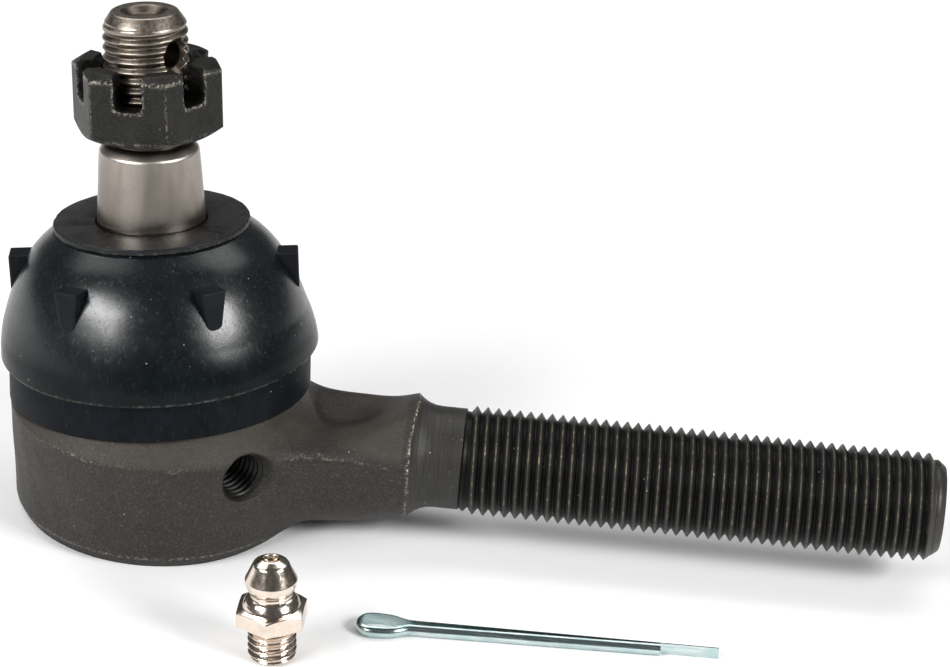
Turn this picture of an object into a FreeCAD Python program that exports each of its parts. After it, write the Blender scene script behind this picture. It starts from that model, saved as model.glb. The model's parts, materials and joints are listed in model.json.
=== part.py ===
import FreeCAD, Part
import os
from math import cos, pi, radians, sin, sqrt

os.makedirs("parts", exist_ok=True)

# Tie rod end, in millimetres.  The origin is the centre of the ball.  +X runs along the
# threaded shank, +Z along the stud when it stands square to the socket.
V = FreeCAD.Vector
ORIGIN = V(0, 0, 0)
X_AXIS = V(1, 0, 0)
Y_AXIS = V(0, 1, 0)
Z_AXIS = V(0, 0, 1)
RUNNING = 0.06            # radial running clearance between sliding round faces

# Rest position of the stud: it leans back and away from the shank.
LEAN = 8.0
LEAN_AZIMUTH = 129.0

# Shank, 9/16 in x 18 threads per inch.
SHANK_R = 7.1
SHANK_THREAD_X = 40.4
SHANK_CHAMFER_X = 100.9
SHANK_END_X = 102.9
SHANK_END_R = 5.6
TURNED_R = 6.66
TURNED_X = 36.8
NECK_END_X = 32.5

# Socket: a forged cup, open at the bottom for assembly and crimped over its end cover.
SOCKET_BOTTOM_Z = -10.7
SOCKET_TOP_Z = 9.6
RIM_R = 17.66
TRIM_EDGE_R = 19.45
TRIM_EDGE_Z = 4.4
BORE_R = 12.8
BEARING_STOP_Z = 4.95
MOUTH_R = 8.3
MOUTH_TOP_R = 11.6
COVER_R = 14.5
COVER_SEAT_Z = -8.4
COVER_THICK = 1.6
COVER_DISH = 0.6
COVER_DISH_R = 6.5
LIP_R = 13.4
FIT_GAP = 0.02            # between faces that bear on each other inside the socket

# Grease hole, 1/4 in x 28, square to the socket wall.
GREASE_AZIMUTH = -47.0
GREASE_Z = 1.75
GREASE_R = 3.1
GREASE_MOUTH_R = 3.45
GREASE_MOUTH_FROM = 18.2
GREASE_MOUTH_DEPTH = 1.3
GREASE_PASSAGE_R = 1.5    # through the bearing, from a round pocket behind the hole
GREASE_POCKET_R = 3.3
GREASE_POCKET_FROM = 11.3

# Bearings and the dished preload spring.
UPPER_BEARING_LOW = -0.9
LOWER_BEARING_LOW = -7.25
LOWER_BEARING_HIGH = -1.3
BEARING_HOLE_R = 2.0
SPRING_IN_R = 6.0
SPRING_OUT_R = 12.4
SPRING_THICK = 0.55
SPRING_RISE = 0.45

# Ball stud, 7/16 in x 20 on the thread.
BALL_R = 9.0
BALL_FLAT = -6.6
NECK_R = 4.6
NECK_TOP = 12.0
BODY_R = 7.05
BODY_FROM = 20.5
TAPER_FROM = 29.6
TAPER_TO = 38.5
TAPER_BIG_R = 7.0
TAPER_SMALL_R = 6.45
STUD_THREAD_R = 5.45
STUD_THREAD_FROM = 40.0
STUD_THREAD_TO = 54.6
STUD_TOP = 56.7
STUD_TOP_R = 4.2
RECESS_R = 2.9
RECESS_DEPTH = 1.3
COTTER_HOLE_R = 1.6
COTTER_HOLE_AT = 51.5
COTTER_HOLE_AZIMUTH = -32.0
COTTER_SINK = 1.3         # its mouths widen by this much over the depth below
COTTER_SINK_DEPTH = 1.6

# Castle nut, 11/16 in across flats.
NUT_FLATS = 17.3
NUT_BOTTOM = 41.1
NUT_TOP = 50.4
NUT_CORNER_AZIMUTH = -67.6
SLOT_W = 3.75
SLOT_DEPTH = 4.7
SLOT_CORNER_R = 0.9
NUT_CHAMFER = 0.75

# Dust boot.
BOOT_TOP = 29.1
BOOT_FLANGE_R = 12.8
BOOT_FLANGE_THICK = 0.85
BOOT_LIP_R = 20.6
BOOT_LIP_AT = 11.1
BOOT_BAND_R = 19.65
BOOT_BOTTOM = 5.8
BOOT_EDGE_R = 18.8
BOOT_HOLE_R = 7.2
BOOT_SKEW = 1.0           # the skirt sits this much further over than the stud
LUG_COUNT = 6
LUG_W = 3.6
LUG_TOP = 24.7
LUG_BOTTOM = 19.3
LUG_R = 18.7
LUG_AZIMUTH = 2.0
LUG_TWIST = 4.0           # the pegs lean round the dome instead of facing straight out

# Grease fitting, which stands loose beside the socket.
FITTING_X = 19.85
FITTING_Y = -35.3
FITTING_THREAD_R = 3.05
FITTING_THREAD_L = 4.95
FITTING_RELIEF_R = 2.6
FITTING_FLATS = 8.2
FITTING_CORNER_AZIMUTH = -92.0
FITTING_LEAN = 3.7        # it stands a little out of square on its rough thread end
FITTING_HEX_TOP = 6.85
FITTING_BELL_R = 3.9
FITTING_BELL_FROM = 7.25
FITTING_BELL_MID_R = 3.55
FITTING_BELL_MID = 8.05
FITTING_COLLAR_R = 2.6
FITTING_COLLAR_FROM = 8.65
FITTING_COLLAR_TOP = 9.0
FITTING_CREASE_R = 2.45
FITTING_CREASE_AT = 9.12
FITTING_BALL_LOW_R = 2.8
FITTING_HEAD_R = 3.25
FITTING_HEAD_AT = 10.85
FITTING_SHOULDER_R = 2.15
FITTING_SHOULDER_AT = 13.15
FITTING_HEIGHT = 13.7
FITTING_TOP_R = 1.05
CHECK_BORE_R = 1.25
CHECK_BALL_R = 1.15
CHECK_MOUTH_R = 0.97
CHECK_SHELF_AT = 5.0
CHECK_SEAT_AT = 12.3
CHECK_SEAT_H = 0.5
CHECK_PASSAGE_R = 0.8
SPRING_WIRE_R = 0.11
SPRING_TURNS = 7
SPRING_COIL_R = 0.85

# Cotter pin, 1/16 in, which lies loose in front of the shank.
PIN_R = 0.78
PIN_LONG_LEG = 45.1
PIN_SHORT_LEG = 37.7
PIN_EYE_HALF = 1.5
PIN_EYE_LENGTH = 6.5
PIN_LEG_GAP = 0.06
PIN_SPREAD = 0.4          # how much further apart the legs are where the eye begins, on each side
PIN_X = 29.3
PIN_Y = -27.2
PIN_TURN = 2.3

FLOOR_Z = SOCKET_BOTTOM_Z


def polar(r, azimuth, z=0.0):
    a = radians(azimuth)
    return V(r * cos(a), r * sin(a), z)


def wire(points):
    """A closed outline of straight sides, in the plane y = 0, from (radius, height) pairs."""
    corners = [V(r, 0, z) for r, z in points]
    return Part.makePolygon(corners + corners[:1])


def revolved(outline):
    return Part.Face(outline).revolve(ORIGIN, Z_AXIS, 360)


def ring(r_out, r_in, z_from, z_to):
    return revolved(wire([(r_in, z_from), (r_out, z_from), (r_out, z_to), (r_in, z_to)]))


def curve(points):
    """A smooth curve through (radius, height) pairs in the plane y = 0."""
    spline = Part.BSplineCurve()
    spline.interpolate([V(r, 0, z) for r, z in points])
    return spline.toShape()


def bore(r, z_from, z_to):
    return Part.makeCylinder(r, z_to - z_from, V(0, 0, z_from))


def straight(a, b):
    return Part.makeLine(V(a[0], 0, a[1]), V(b[0], 0, b[1]))


def hexagon(flats, corner_azimuth, z_from, z_to):
    r = flats / sqrt(3)
    corners = [polar(r, corner_azimuth + 60 * k, z_from) for k in range(6)]
    outline = Part.makePolygon(corners + corners[:1])
    return Part.Face(outline).extrude(V(0, 0, z_to - z_from))


def along(r, length, start, direction):
    return Part.makeCylinder(r, length, start, direction)


def leaned(shape, skew=0.0):
    """Turns a part made upright on the stud axis to the stud's rest position."""
    tipped = shape.copy()
    if skew:
        tipped.rotate(V(0, 0, BOOT_TOP), Y_AXIS, -skew)
    tipped.rotate(ORIGIN, polar(1, LEAN_AZIMUTH + 90), LEAN)
    return tipped


def save(shape, node):
    assert len(shape.Solids) == 1, "%s has %d solids" % (node, len(shape.Solids))
    assert shape.isValid(), node
    solid = shape.Solids[0]
    solid.exportStep("parts/%s.step" % node)
    print("%-22s %9.1f mm3" % (node, solid.Volume))


# Socket housing ---------------------------------------------------------------------------

def neck_section(x, half_width, top, parting, bottom, squareness):
    """A rounded section across the neck: flatter above the parting line, deeper below."""
    points = []
    for k in range(28):
        a = 2 * pi * k / 28
        c, s = cos(a), sin(a)
        height = top - parting if s > 0 else parting - bottom
        y = half_width * abs(c) ** (2 / squareness) * (1 if c > 0 else -1)
        z = parting + height * abs(s) ** (2 / squareness) * (1 if s > 0 else -1)
        points.append(V(x, y, z))
    spline = Part.BSplineCurve()
    spline.interpolate(points, PeriodicFlag=True)
    return Part.Wire(spline.toShape())


def neck():
    sections = [
        neck_section(9.0, 14.0, 6.4, 2.6, -9.7, 2.8),
        neck_section(16.0, 11.4, 5.1, 2.6, -9.5, 2.8),
        neck_section(21.0, 9.9, 4.5, 2.4, -9.2, 2.8),
        neck_section(26.5, 9.1, 5.0, 2.0, -8.9, 2.8),
        neck_section(30.5, 8.5, 6.4, 1.0, -8.3, 2.4),
        neck_section(34.5, 8.2, 8.3, 0.0, -8.1, 2.1),
    ]
    return Part.makeLoft(sections, True, False)


def shank():
    """Everything turned about +X: the fillet off the neck, the plain length and the thread."""
    fillet_r = TURNED_X - NECK_END_X
    crest = TURNED_R + fillet_r
    bend = V(TURNED_X - fillet_r * sin(pi / 4), 0, crest - fillet_r * cos(pi / 4))
    arc = Part.Arc(V(NECK_END_X, 0, crest), bend, V(TURNED_X, 0, TURNED_R)).toShape()
    rest = [
        (TURNED_X, TURNED_R),
        (SHANK_THREAD_X - 0.4, TURNED_R),
        (SHANK_THREAD_X, SHANK_R),
        (SHANK_CHAMFER_X, SHANK_R),
        (SHANK_END_X, SHANK_END_R),
        (SHANK_END_X, 0),
        (NECK_END_X, 0),
        (NECK_END_X, crest),
    ]
    edges = [arc] + [straight(a, b) for a, b in zip(rest, rest[1:])]
    return Part.Face(Part.Wire(Part.sortEdges(edges)[0])).revolve(ORIGIN, X_AXIS, 360)


def socket_outside():
    return revolved(wire([
        (0, SOCKET_BOTTOM_Z),
        (RIM_R, SOCKET_BOTTOM_Z),
        (18.25, -9.8),
        (18.5, -7.1),
        (18.8, -3.5),
        (19.2, 0.5),
        (TRIM_EDGE_R, TRIM_EDGE_Z),
        (TRIM_EDGE_R - 0.5, TRIM_EDGE_Z + 1.0),
        (17.3, 8.7),
        (16.3, SOCKET_TOP_Z),
        (0, SOCKET_TOP_Z),
    ]))


def socket_inside():
    return revolved(wire([
        (0, SOCKET_BOTTOM_Z - 1),
        (LIP_R, SOCKET_BOTTOM_Z - 1),
        (LIP_R, COVER_SEAT_Z - COVER_THICK),
        (COVER_R + 0.05, COVER_SEAT_Z - COVER_THICK),
        (COVER_R + 0.05, COVER_SEAT_Z),
        (BORE_R, COVER_SEAT_Z),
        (BORE_R, BEARING_STOP_Z),
        (MOUTH_R, BEARING_STOP_Z),
        (MOUTH_TOP_R, SOCKET_TOP_Z),
        (MOUTH_TOP_R, SOCKET_TOP_Z + 1),
        (0, SOCKET_TOP_Z + 1),
    ]))


def grease_drill(r, depth_from):
    """A round hole square to the socket wall, as a solid to cut away."""
    out = polar(1, GREASE_AZIMUTH)
    return along(r, 30, out * depth_from + V(0, 0, GREASE_Z), out)


def grease_mouth():
    """The countersink at the outer end of the grease hole."""
    out = polar(1, GREASE_AZIMUTH)
    start = out * GREASE_MOUTH_FROM + V(0, 0, GREASE_Z)
    widening = 4 * (GREASE_MOUTH_R - GREASE_R)
    return Part.makeCone(GREASE_R, GREASE_R + widening, 4 * GREASE_MOUTH_DEPTH, start, out)


def socket_housing():
    turned = shank()
    untouched = Part.makeBox(40, 40, 40, V(NECK_END_X - 40, -20, -20))
    forged = socket_outside().fuse(neck().common(turned.fuse(untouched)))
    plain = turned.common(Part.makeBox(80, 30, 30, V(NECK_END_X + 1.4, -15, -15)))
    shape = forged.fuse(plain).cut(socket_inside())
    shape = shape.cut(grease_drill(GREASE_R, GREASE_POCKET_FROM).fuse(grease_mouth()))
    boot_seat = ring(24, BOOT_EDGE_R - 0.08, BOOT_BOTTOM - 0.08, BOOT_LIP_AT)
    shape = shape.cut(leaned(boot_seat, BOOT_SKEW))
    return shape.removeSplitter()


# Ball stud --------------------------------------------------------------------------------

def ball_stud():
    neck_meets = sqrt(BALL_R ** 2 - NECK_R ** 2)
    flat_r = sqrt(BALL_R ** 2 - BALL_FLAT ** 2)
    ball = Part.Arc(V(flat_r, 0, BALL_FLAT), V(BALL_R, 0, 0), V(NECK_R, 0, neck_meets)).toShape()
    swell = curve([(NECK_R, NECK_TOP), (5.0, 14.0), (6.2, 17.5), (BODY_R, BODY_FROM)])
    rest = [
        (BODY_R, BODY_FROM),
        (BODY_R, TAPER_FROM - 0.3),
        (TAPER_BIG_R, TAPER_FROM),
        (TAPER_SMALL_R, TAPER_TO),
        (STUD_THREAD_R - 0.55, TAPER_TO + 1.0),
        (STUD_THREAD_R - 0.55, STUD_THREAD_FROM - 0.3),
        (STUD_THREAD_R, STUD_THREAD_FROM),
        (STUD_THREAD_R, STUD_THREAD_TO),
        (STUD_TOP_R, STUD_TOP),
        (RECESS_R, STUD_TOP),
        (0.8, STUD_TOP - RECESS_DEPTH),
        (0, STUD_TOP - RECESS_DEPTH),
        (0, BALL_FLAT),
        (flat_r, BALL_FLAT),
    ]
    edges = [ball, straight((NECK_R, neck_meets), (NECK_R, NECK_TOP)), swell]
    edges += [straight(a, b) for a, b in zip(rest, rest[1:])]
    shape = revolved(Part.Wire(Part.sortEdges(edges)[0]))
    out = polar(1, COTTER_HOLE_AZIMUTH)
    middle = V(0, 0, COTTER_HOLE_AT)
    shape = shape.cut(along(COTTER_HOLE_R, 20, middle - out * 10, out))
    for side in (1, -1):
        start = middle + out * (side * (STUD_THREAD_R - 1.2))
        mouth_r = COTTER_HOLE_R + COTTER_SINK
        shape = shape.cut(Part.makeCone(COTTER_HOLE_R, mouth_r, COTTER_SINK_DEPTH, start, out * side))
    return leaned(shape)


# Bearings, preload spring and end cover ---------------------------------------------------

def bearing(r_out, z_from, z_to):
    blank = ring(r_out, BEARING_HOLE_R, z_from, z_to)
    return blank.cut(Part.makeSphere(BALL_R + RUNNING))


def upper_bearing():
    shape = bearing(BORE_R - 2 * FIT_GAP, UPPER_BEARING_LOW, BEARING_STOP_Z - FIT_GAP)
    shape = shape.cut(grease_drill(GREASE_PASSAGE_R, BALL_R - 3))
    return shape.cut(grease_drill(GREASE_POCKET_R, GREASE_POCKET_FROM))


def lower_bearing():
    return bearing(BORE_R - 5 * FIT_GAP, LOWER_BEARING_LOW, LOWER_BEARING_HIGH)


def preload_spring():
    """A dished spring washer between the lower bearing and the end cover."""
    low = COVER_SEAT_Z + FIT_GAP
    return revolved(wire([
        (SPRING_IN_R, low + SPRING_RISE),
        (SPRING_OUT_R, low),
        (SPRING_OUT_R, low + SPRING_THICK),
        (SPRING_IN_R, low + SPRING_RISE + SPRING_THICK),
    ]))


def end_cover_plate():
    low = COVER_SEAT_Z - COVER_THICK + FIT_GAP
    high = COVER_SEAT_Z - FIT_GAP
    return revolved(wire([
        (0, low - COVER_DISH),
        (COVER_DISH_R, low - COVER_DISH),
        (COVER_DISH_R + 1, low),
        (COVER_R, low),
        (COVER_R, high),
        (COVER_DISH_R + 1, high),
        (COVER_DISH_R, high - COVER_DISH - 0.1),
        (0, high - COVER_DISH - 0.1),
    ]))


# Castle nut -------------------------------------------------------------------------------

def slot(azimuth):
    """One slot, open at the top, with its two lower corners rounded."""
    depth_z = NUT_TOP - SLOT_DEPTH
    box = Part.makeBox(14, SLOT_W, SLOT_DEPTH + 2, V(0, -SLOT_W / 2, depth_z))
    low = [e for e in box.Edges
           if abs(e.CenterOfMass.z - depth_z) < 0.01 and abs(e.CenterOfMass.y) > 1]
    box = box.makeFillet(SLOT_CORNER_R, low)
    box.rotate(ORIGIN, Z_AXIS, azimuth)
    return box


def castle_nut():
    corner_r = NUT_FLATS / sqrt(3)
    flat_r = NUT_FLATS / 2
    shape = hexagon(NUT_FLATS, NUT_CORNER_AZIMUTH, NUT_BOTTOM, NUT_TOP)
    shape = shape.common(revolved(wire([
        (0, NUT_BOTTOM),
        (flat_r - 0.1, NUT_BOTTOM),
        (corner_r - 0.15, NUT_BOTTOM + NUT_CHAMFER),
        (corner_r - 0.15, NUT_TOP - NUT_CHAMFER),
        (flat_r - 0.3, NUT_TOP),
        (0, NUT_TOP),
    ])))
    bore_r = STUD_THREAD_R + RUNNING
    shape = shape.cut(bore(bore_r, NUT_BOTTOM - 1, NUT_TOP + 1))
    shape = shape.cut(Part.makeCone(bore_r + 0.7, bore_r, 0.7, V(0, 0, NUT_BOTTOM)))
    for k in range(6):
        shape = shape.cut(slot(NUT_CORNER_AZIMUTH + 30 + 60 * k))
    return leaned(shape)


# Dust boot --------------------------------------------------------------------------------

def boot_shell():
    flange_low = BOOT_TOP - BOOT_FLANGE_THICK
    outer = [(12.2, flange_low), (15.1, 25.8), (17.15, 23.0), (18.7, 19.6),
             (19.85, 16.0), (20.4, 13.2), (BOOT_LIP_R, BOOT_LIP_AT)]
    inner = [(BOOT_EDGE_R, BOOT_LIP_AT - 0.6), (18.3, 14.5), (17.0, 18.2), (15.0, 21.2), (11.2, 24.6)]
    edges = [curve(outer), curve(inner)]
    rest = [
        (BOOT_LIP_R, BOOT_LIP_AT),
        (BOOT_LIP_R - 0.25, BOOT_LIP_AT - 0.4),
        (BOOT_BAND_R + 0.1, BOOT_LIP_AT - 0.45),
        (BOOT_BAND_R, BOOT_BOTTOM),
        (BOOT_EDGE_R, BOOT_BOTTOM),
        inner[0],
    ]
    edges += [straight(a, b) for a, b in zip(rest, rest[1:])]
    top = [
        inner[-1],
        (BOOT_HOLE_R, 25.2),
        (BOOT_HOLE_R, BOOT_TOP),
        (BOOT_FLANGE_R, BOOT_TOP),
        (BOOT_FLANGE_R, flange_low),
        outer[0],
    ]
    edges += [straight(a, b) for a, b in zip(top, top[1:])]
    return revolved(Part.Wire(Part.sortEdges(edges)[0]))


def lug(azimuth):
    """An upright peg on the dome: flat on top, a narrow round foot running into the dome."""
    half = LUG_W / 2
    foot = half * 0.62
    left = V(LUG_R, -half, LUG_TOP)
    right = V(LUG_R, half, LUG_TOP)
    low_left = V(LUG_R, -foot, LUG_BOTTOM + foot)
    low_right = V(LUG_R, foot, LUG_BOTTOM + foot)
    arc = Part.Arc(low_left, V(LUG_R, 0, LUG_BOTTOM), low_right).toShape()
    edges = [Part.makeLine(left, right), Part.makeLine(right, low_right), arc,
             Part.makeLine(low_left, left)]
    outline = Part.Wire(Part.sortEdges(edges)[0])
    peg = Part.Face(outline).extrude(V(-4.6, 0, 0))
    peg.rotate(V(LUG_R - 2, 0, 0), Z_AXIS, LUG_TWIST)
    peg.rotate(ORIGIN, Z_AXIS, azimuth)
    return peg


def dust_boot():
    shape = boot_shell()
    inside = revolved(wire([(0, 0), (17.6, 17.0), (13.0, 24.5), (0, 27.0)]))
    for k in range(LUG_COUNT):
        shape = shape.fuse(lug(LUG_AZIMUTH + 60 * k).cut(inside))
    return leaned(shape.removeSplitter(), BOOT_SKEW)


# Grease fitting ---------------------------------------------------------------------------

def placed_fitting(shape):
    moved = shape.copy()
    moved.rotate(V(-FITTING_THREAD_R, 0, 0), Y_AXIS, -FITTING_LEAN)
    moved.translate(V(FITTING_X, FITTING_Y, FLOOR_Z))
    return moved


def fitting_outside():
    corner_r = FITTING_FLATS / sqrt(3)
    foot = sqrt(FITTING_HEAD_R ** 2 - FITTING_BALL_LOW_R ** 2)
    middle = radians(15)
    ball = Part.Arc(
        V(FITTING_BALL_LOW_R, 0, FITTING_HEAD_AT - foot),
        V(FITTING_HEAD_R * cos(middle), 0, FITTING_HEAD_AT - FITTING_HEAD_R * sin(middle)),
        V(FITTING_HEAD_R, 0, FITTING_HEAD_AT)).toShape()
    bell = Part.Arc(
        V(FITTING_BELL_R, 0, FITTING_BELL_FROM),
        V(FITTING_BELL_MID_R, 0, FITTING_BELL_MID),
        V(FITTING_COLLAR_R, 0, FITTING_COLLAR_FROM)).toShape()
    above = [
        (FITTING_HEAD_R, FITTING_HEAD_AT),
        (FITTING_SHOULDER_R, FITTING_SHOULDER_AT),
        (FITTING_TOP_R, FITTING_HEIGHT),
        (0, FITTING_HEIGHT),
        (0, 0),
        (FITTING_THREAD_R - 0.35, 0),
        (FITTING_THREAD_R, 0.35),
        (FITTING_THREAD_R, FITTING_THREAD_L - 0.5),
        (FITTING_RELIEF_R, FITTING_THREAD_L - 0.45),
        (FITTING_RELIEF_R, FITTING_THREAD_L),
        (corner_r, FITTING_THREAD_L),
        (corner_r, FITTING_HEX_TOP),
        (FITTING_BELL_R, FITTING_BELL_FROM),
    ]
    neck_line = [
        (FITTING_COLLAR_R, FITTING_COLLAR_FROM),
        (FITTING_COLLAR_R, FITTING_COLLAR_TOP),
        (FITTING_CREASE_R, FITTING_CREASE_AT),
        (FITTING_BALL_LOW_R, FITTING_HEAD_AT - foot),
    ]
    edges = [ball, bell]
    for line in (above, neck_line):
        edges += [straight(a, b) for a, b in zip(line, line[1:])]
    return revolved(Part.Wire(Part.sortEdges(edges)[0]))


def grease_fitting_body():
    hexed = hexagon(FITTING_FLATS, FITTING_CORNER_AZIMUTH, 0, FITTING_COLLAR_TOP)
    round_top = bore(FITTING_FLATS / 2, FITTING_BELL_MID, FITTING_HEIGHT + 1)
    shape = fitting_outside().common(hexed.fuse(round_top))
    shape = shape.cut(bore(CHECK_PASSAGE_R, -1, CHECK_SHELF_AT + 0.5))
    shape = shape.cut(bore(CHECK_BORE_R, CHECK_SHELF_AT, CHECK_SEAT_AT))
    seat = Part.makeCone(CHECK_BORE_R, CHECK_MOUTH_R, CHECK_SEAT_H, V(0, 0, CHECK_SEAT_AT))
    shape = shape.cut(seat)
    shape = shape.cut(bore(CHECK_MOUTH_R, CHECK_SEAT_AT + 0.4, FITTING_HEIGHT + 1))
    return placed_fitting(shape.removeSplitter())


def check_ball_height():
    """Where the ball closes the conical seat, with a hair of clearance."""
    slope = (CHECK_BORE_R - CHECK_MOUTH_R) / CHECK_SEAT_H
    reach = (CHECK_BALL_R + 0.02) * sqrt(1 + slope ** 2)
    apex = CHECK_SEAT_AT + CHECK_BORE_R / slope
    return apex - reach / slope


def check_ball():
    return placed_fitting(Part.makeSphere(CHECK_BALL_R, V(0, 0, check_ball_height())))


def check_ball_spring():
    """The coil under the check ball, one helical wire."""
    low = CHECK_SHELF_AT + SPRING_WIRE_R + 0.02
    high = check_ball_height() - CHECK_BALL_R - SPRING_WIRE_R - 0.05
    pitch = (high - low) / SPRING_TURNS
    helix = Part.makeHelix(pitch, high - low, SPRING_COIL_R)
    helix.translate(V(0, 0, low))
    section = Part.Wire(Part.makeCircle(SPRING_WIRE_R, V(SPRING_COIL_R, 0, low), Y_AXIS))
    coil = Part.Wire(helix.Edges).makePipeShell([section], True, True)
    return placed_fitting(coil)


# Cotter pin -------------------------------------------------------------------------------

def half_round(at, inward):
    """Half-round wire section: flat towards the other leg, round outside."""
    up = V(0, 0, PIN_R)
    arc = Part.Arc(at + up, at - inward * PIN_R, at - up).toShape()
    return Part.Wire([arc, Part.makeLine(at - up, at + up)])


def cotter_pin():
    """One bent half-round wire: long leg, round eye and short leg, lying on the floor."""
    gap = PIN_LEG_GAP / 2
    e = PIN_EYE_HALF
    edges = []
    for side, leg in ((1, PIN_LONG_LEG), (-1, PIN_SHORT_LEG)):
        tip = V(leg, side * gap, 0)
        root = V(PIN_EYE_LENGTH, side * (gap + PIN_SPREAD * leg / PIN_LONG_LEG), 0)
        flat = Part.LineSegment(tip, root).toShape()
        ease = Part.BSplineCurve()
        ease.interpolate(
            [root, V((PIN_EYE_LENGTH + e) / 2 + 0.1, side * e * 0.8, 0), V(e, side * e, 0)],
            InitialTangent=(root - tip).normalize(), FinalTangent=V(-1, 0, 0))
        edges += [flat, ease.toShape()]
    edges.append(Part.Arc(V(e, e, 0), V(0, 0, 0), V(e, -e, 0)).toShape())
    path = Part.Wire(Part.sortEdges(edges)[0])
    start = path.OrderedVertexes[0].Point
    side = 1 if start.y > 0 else -1
    section = half_round(start, V(0, -side, 0))
    sweep = Part.BRepOffsetAPI.MakePipeShell(path)
    sweep.setBiNormalMode(Z_AXIS)
    sweep.add(section)
    sweep.build()
    sweep.makeSolid()
    pin = sweep.shape()
    pin.translate(V(PIN_R, 0, 0))
    pin.rotate(ORIGIN, Z_AXIS, PIN_TURN)
    pin.translate(V(PIN_X, PIN_Y, FLOOR_Z + PIN_R))
    return pin


PARTS = {
    "socket_housing": socket_housing,
    "ball_stud": ball_stud,
    "upper_bearing": upper_bearing,
    "lower_bearing": lower_bearing,
    "preload_spring": preload_spring,
    "end_cover_plate": end_cover_plate,
    "dust_boot": dust_boot,
    "castle_nut": castle_nut,
    "cotter_pin": cotter_pin,
    "grease_fitting_body": grease_fitting_body,
    "check_ball": check_ball,
    "check_ball_spring": check_ball_spring,
}

for node, make in PARTS.items():
    save(make(), node)
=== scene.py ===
import json
import math

import bmesh
import bpy
import numpy as np
from mathutils import Euler, Matrix, Vector


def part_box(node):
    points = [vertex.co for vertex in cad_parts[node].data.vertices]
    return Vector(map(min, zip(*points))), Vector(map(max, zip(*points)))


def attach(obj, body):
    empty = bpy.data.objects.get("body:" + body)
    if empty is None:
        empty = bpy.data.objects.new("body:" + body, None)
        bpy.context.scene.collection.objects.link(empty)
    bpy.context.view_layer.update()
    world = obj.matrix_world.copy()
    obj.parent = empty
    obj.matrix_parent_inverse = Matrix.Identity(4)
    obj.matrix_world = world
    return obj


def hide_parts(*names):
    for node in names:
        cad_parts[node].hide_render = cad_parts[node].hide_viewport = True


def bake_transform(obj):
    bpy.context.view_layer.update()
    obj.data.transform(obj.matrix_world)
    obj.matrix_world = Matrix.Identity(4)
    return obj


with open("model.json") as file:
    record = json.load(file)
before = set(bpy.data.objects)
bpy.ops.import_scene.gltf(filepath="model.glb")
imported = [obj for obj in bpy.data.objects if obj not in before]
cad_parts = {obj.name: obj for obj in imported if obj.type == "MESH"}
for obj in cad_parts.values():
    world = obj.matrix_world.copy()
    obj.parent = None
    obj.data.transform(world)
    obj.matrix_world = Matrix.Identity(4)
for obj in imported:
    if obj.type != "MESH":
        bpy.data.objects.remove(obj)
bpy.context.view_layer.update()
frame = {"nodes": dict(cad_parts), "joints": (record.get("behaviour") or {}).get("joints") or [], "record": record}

# Lengths below are millimetres, as in the CAD source, and become metres when a mesh is made.
MM = 0.001


def joint_axis(name):
    return Vector(next(j["axis"] for j in frame["joints"] if j["name"] == name))


def mount(name):
    return next(m for m in frame["record"]["mounts"] if m["name"] == name)


def box_mm(node):
    low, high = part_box(node)
    return np.array(low) / MM, np.array(high) / MM


FLOOR_Z = box_mm("socket_housing")[0][2]
SHANK_END_X = box_mm("socket_housing")[1][0]
SHANK_R = mount("shank_thread")["dims"]["r_mm"]
STUD_AXIS = joint_axis("stud_spin")
STUD_TURN = np.array(Vector((0, 0, 1)).rotation_difference(STUD_AXIS).to_matrix())
FITTING_AXIS = -joint_axis("check_ball_press")
FITTING_TURN = np.array(Vector((0, 0, 1)).rotation_difference(FITTING_AXIS).to_matrix())

SHANK_PITCH = 25.4 / 18
STUD_PITCH = 25.4 / 20
FITTING_PITCH = 25.4 / 28
THREAD_DEPTH = 0.6          # of the pitch


# Meshes -----------------------------------------------------------------------------------

def mesh_object(name, points, faces, turn=None, at=None, smooth=True):
    """Makes an object from points in millimetres, turned by a 3x3 matrix and moved to at."""
    points = np.asarray(points, float)
    if turn is not None:
        points = points @ turn.T
    if at is not None:
        points = points + np.asarray(at)
    mesh = bpy.data.meshes.new(name)
    mesh.from_pydata((points * MM).tolist(), [], [list(f) for f in faces])
    work = bmesh.new()
    work.from_mesh(mesh)
    bmesh.ops.remove_doubles(work, verts=work.verts, dist=2e-7)
    bmesh.ops.dissolve_degenerate(work, edges=work.edges, dist=1e-7)
    bmesh.ops.recalc_face_normals(work, faces=work.faces)
    work.to_mesh(mesh)
    work.free()
    mesh.polygons.foreach_set("use_smooth", [smooth] * len(mesh.polygons))
    piece = bpy.data.objects.new(name, mesh)
    bpy.context.scene.collection.objects.link(piece)
    return piece


def sharp_edges(piece, degrees):
    """Shades across edges that turn less than this, and leaves the others crisp."""
    work = bmesh.new()
    work.from_mesh(piece.data)
    for edge in work.edges:
        edge.smooth = edge.calc_face_angle(0) < math.radians(degrees)
    work.to_mesh(piece.data)
    work.free()


def joined(name, pieces):
    """One object made of several meshes, each with its own materials kept."""
    with bpy.context.temp_override(active_object=pieces[0], selected_editable_objects=pieces):
        bpy.ops.object.join()
    pieces[0].name = name
    return pieces[0]


def point_values(piece, name, values):
    """Stores one number from 0 to 1 for each vertex, for the materials to read."""
    attribute = piece.data.attributes.new(name, "FLOAT", "POINT")
    attribute.data.foreach_set("value", np.clip(values, 0, 1).astype(np.float32))


def points_mm(piece, turn=None):
    """The vertices in millimetres, turned back upright if a turn is given."""
    co = np.zeros(len(piece.data.vertices) * 3, np.float32)
    piece.data.vertices.foreach_get("co", co)
    co = co.reshape(-1, 3).astype(float) / MM
    return co if turn is None else co @ turn


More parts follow.
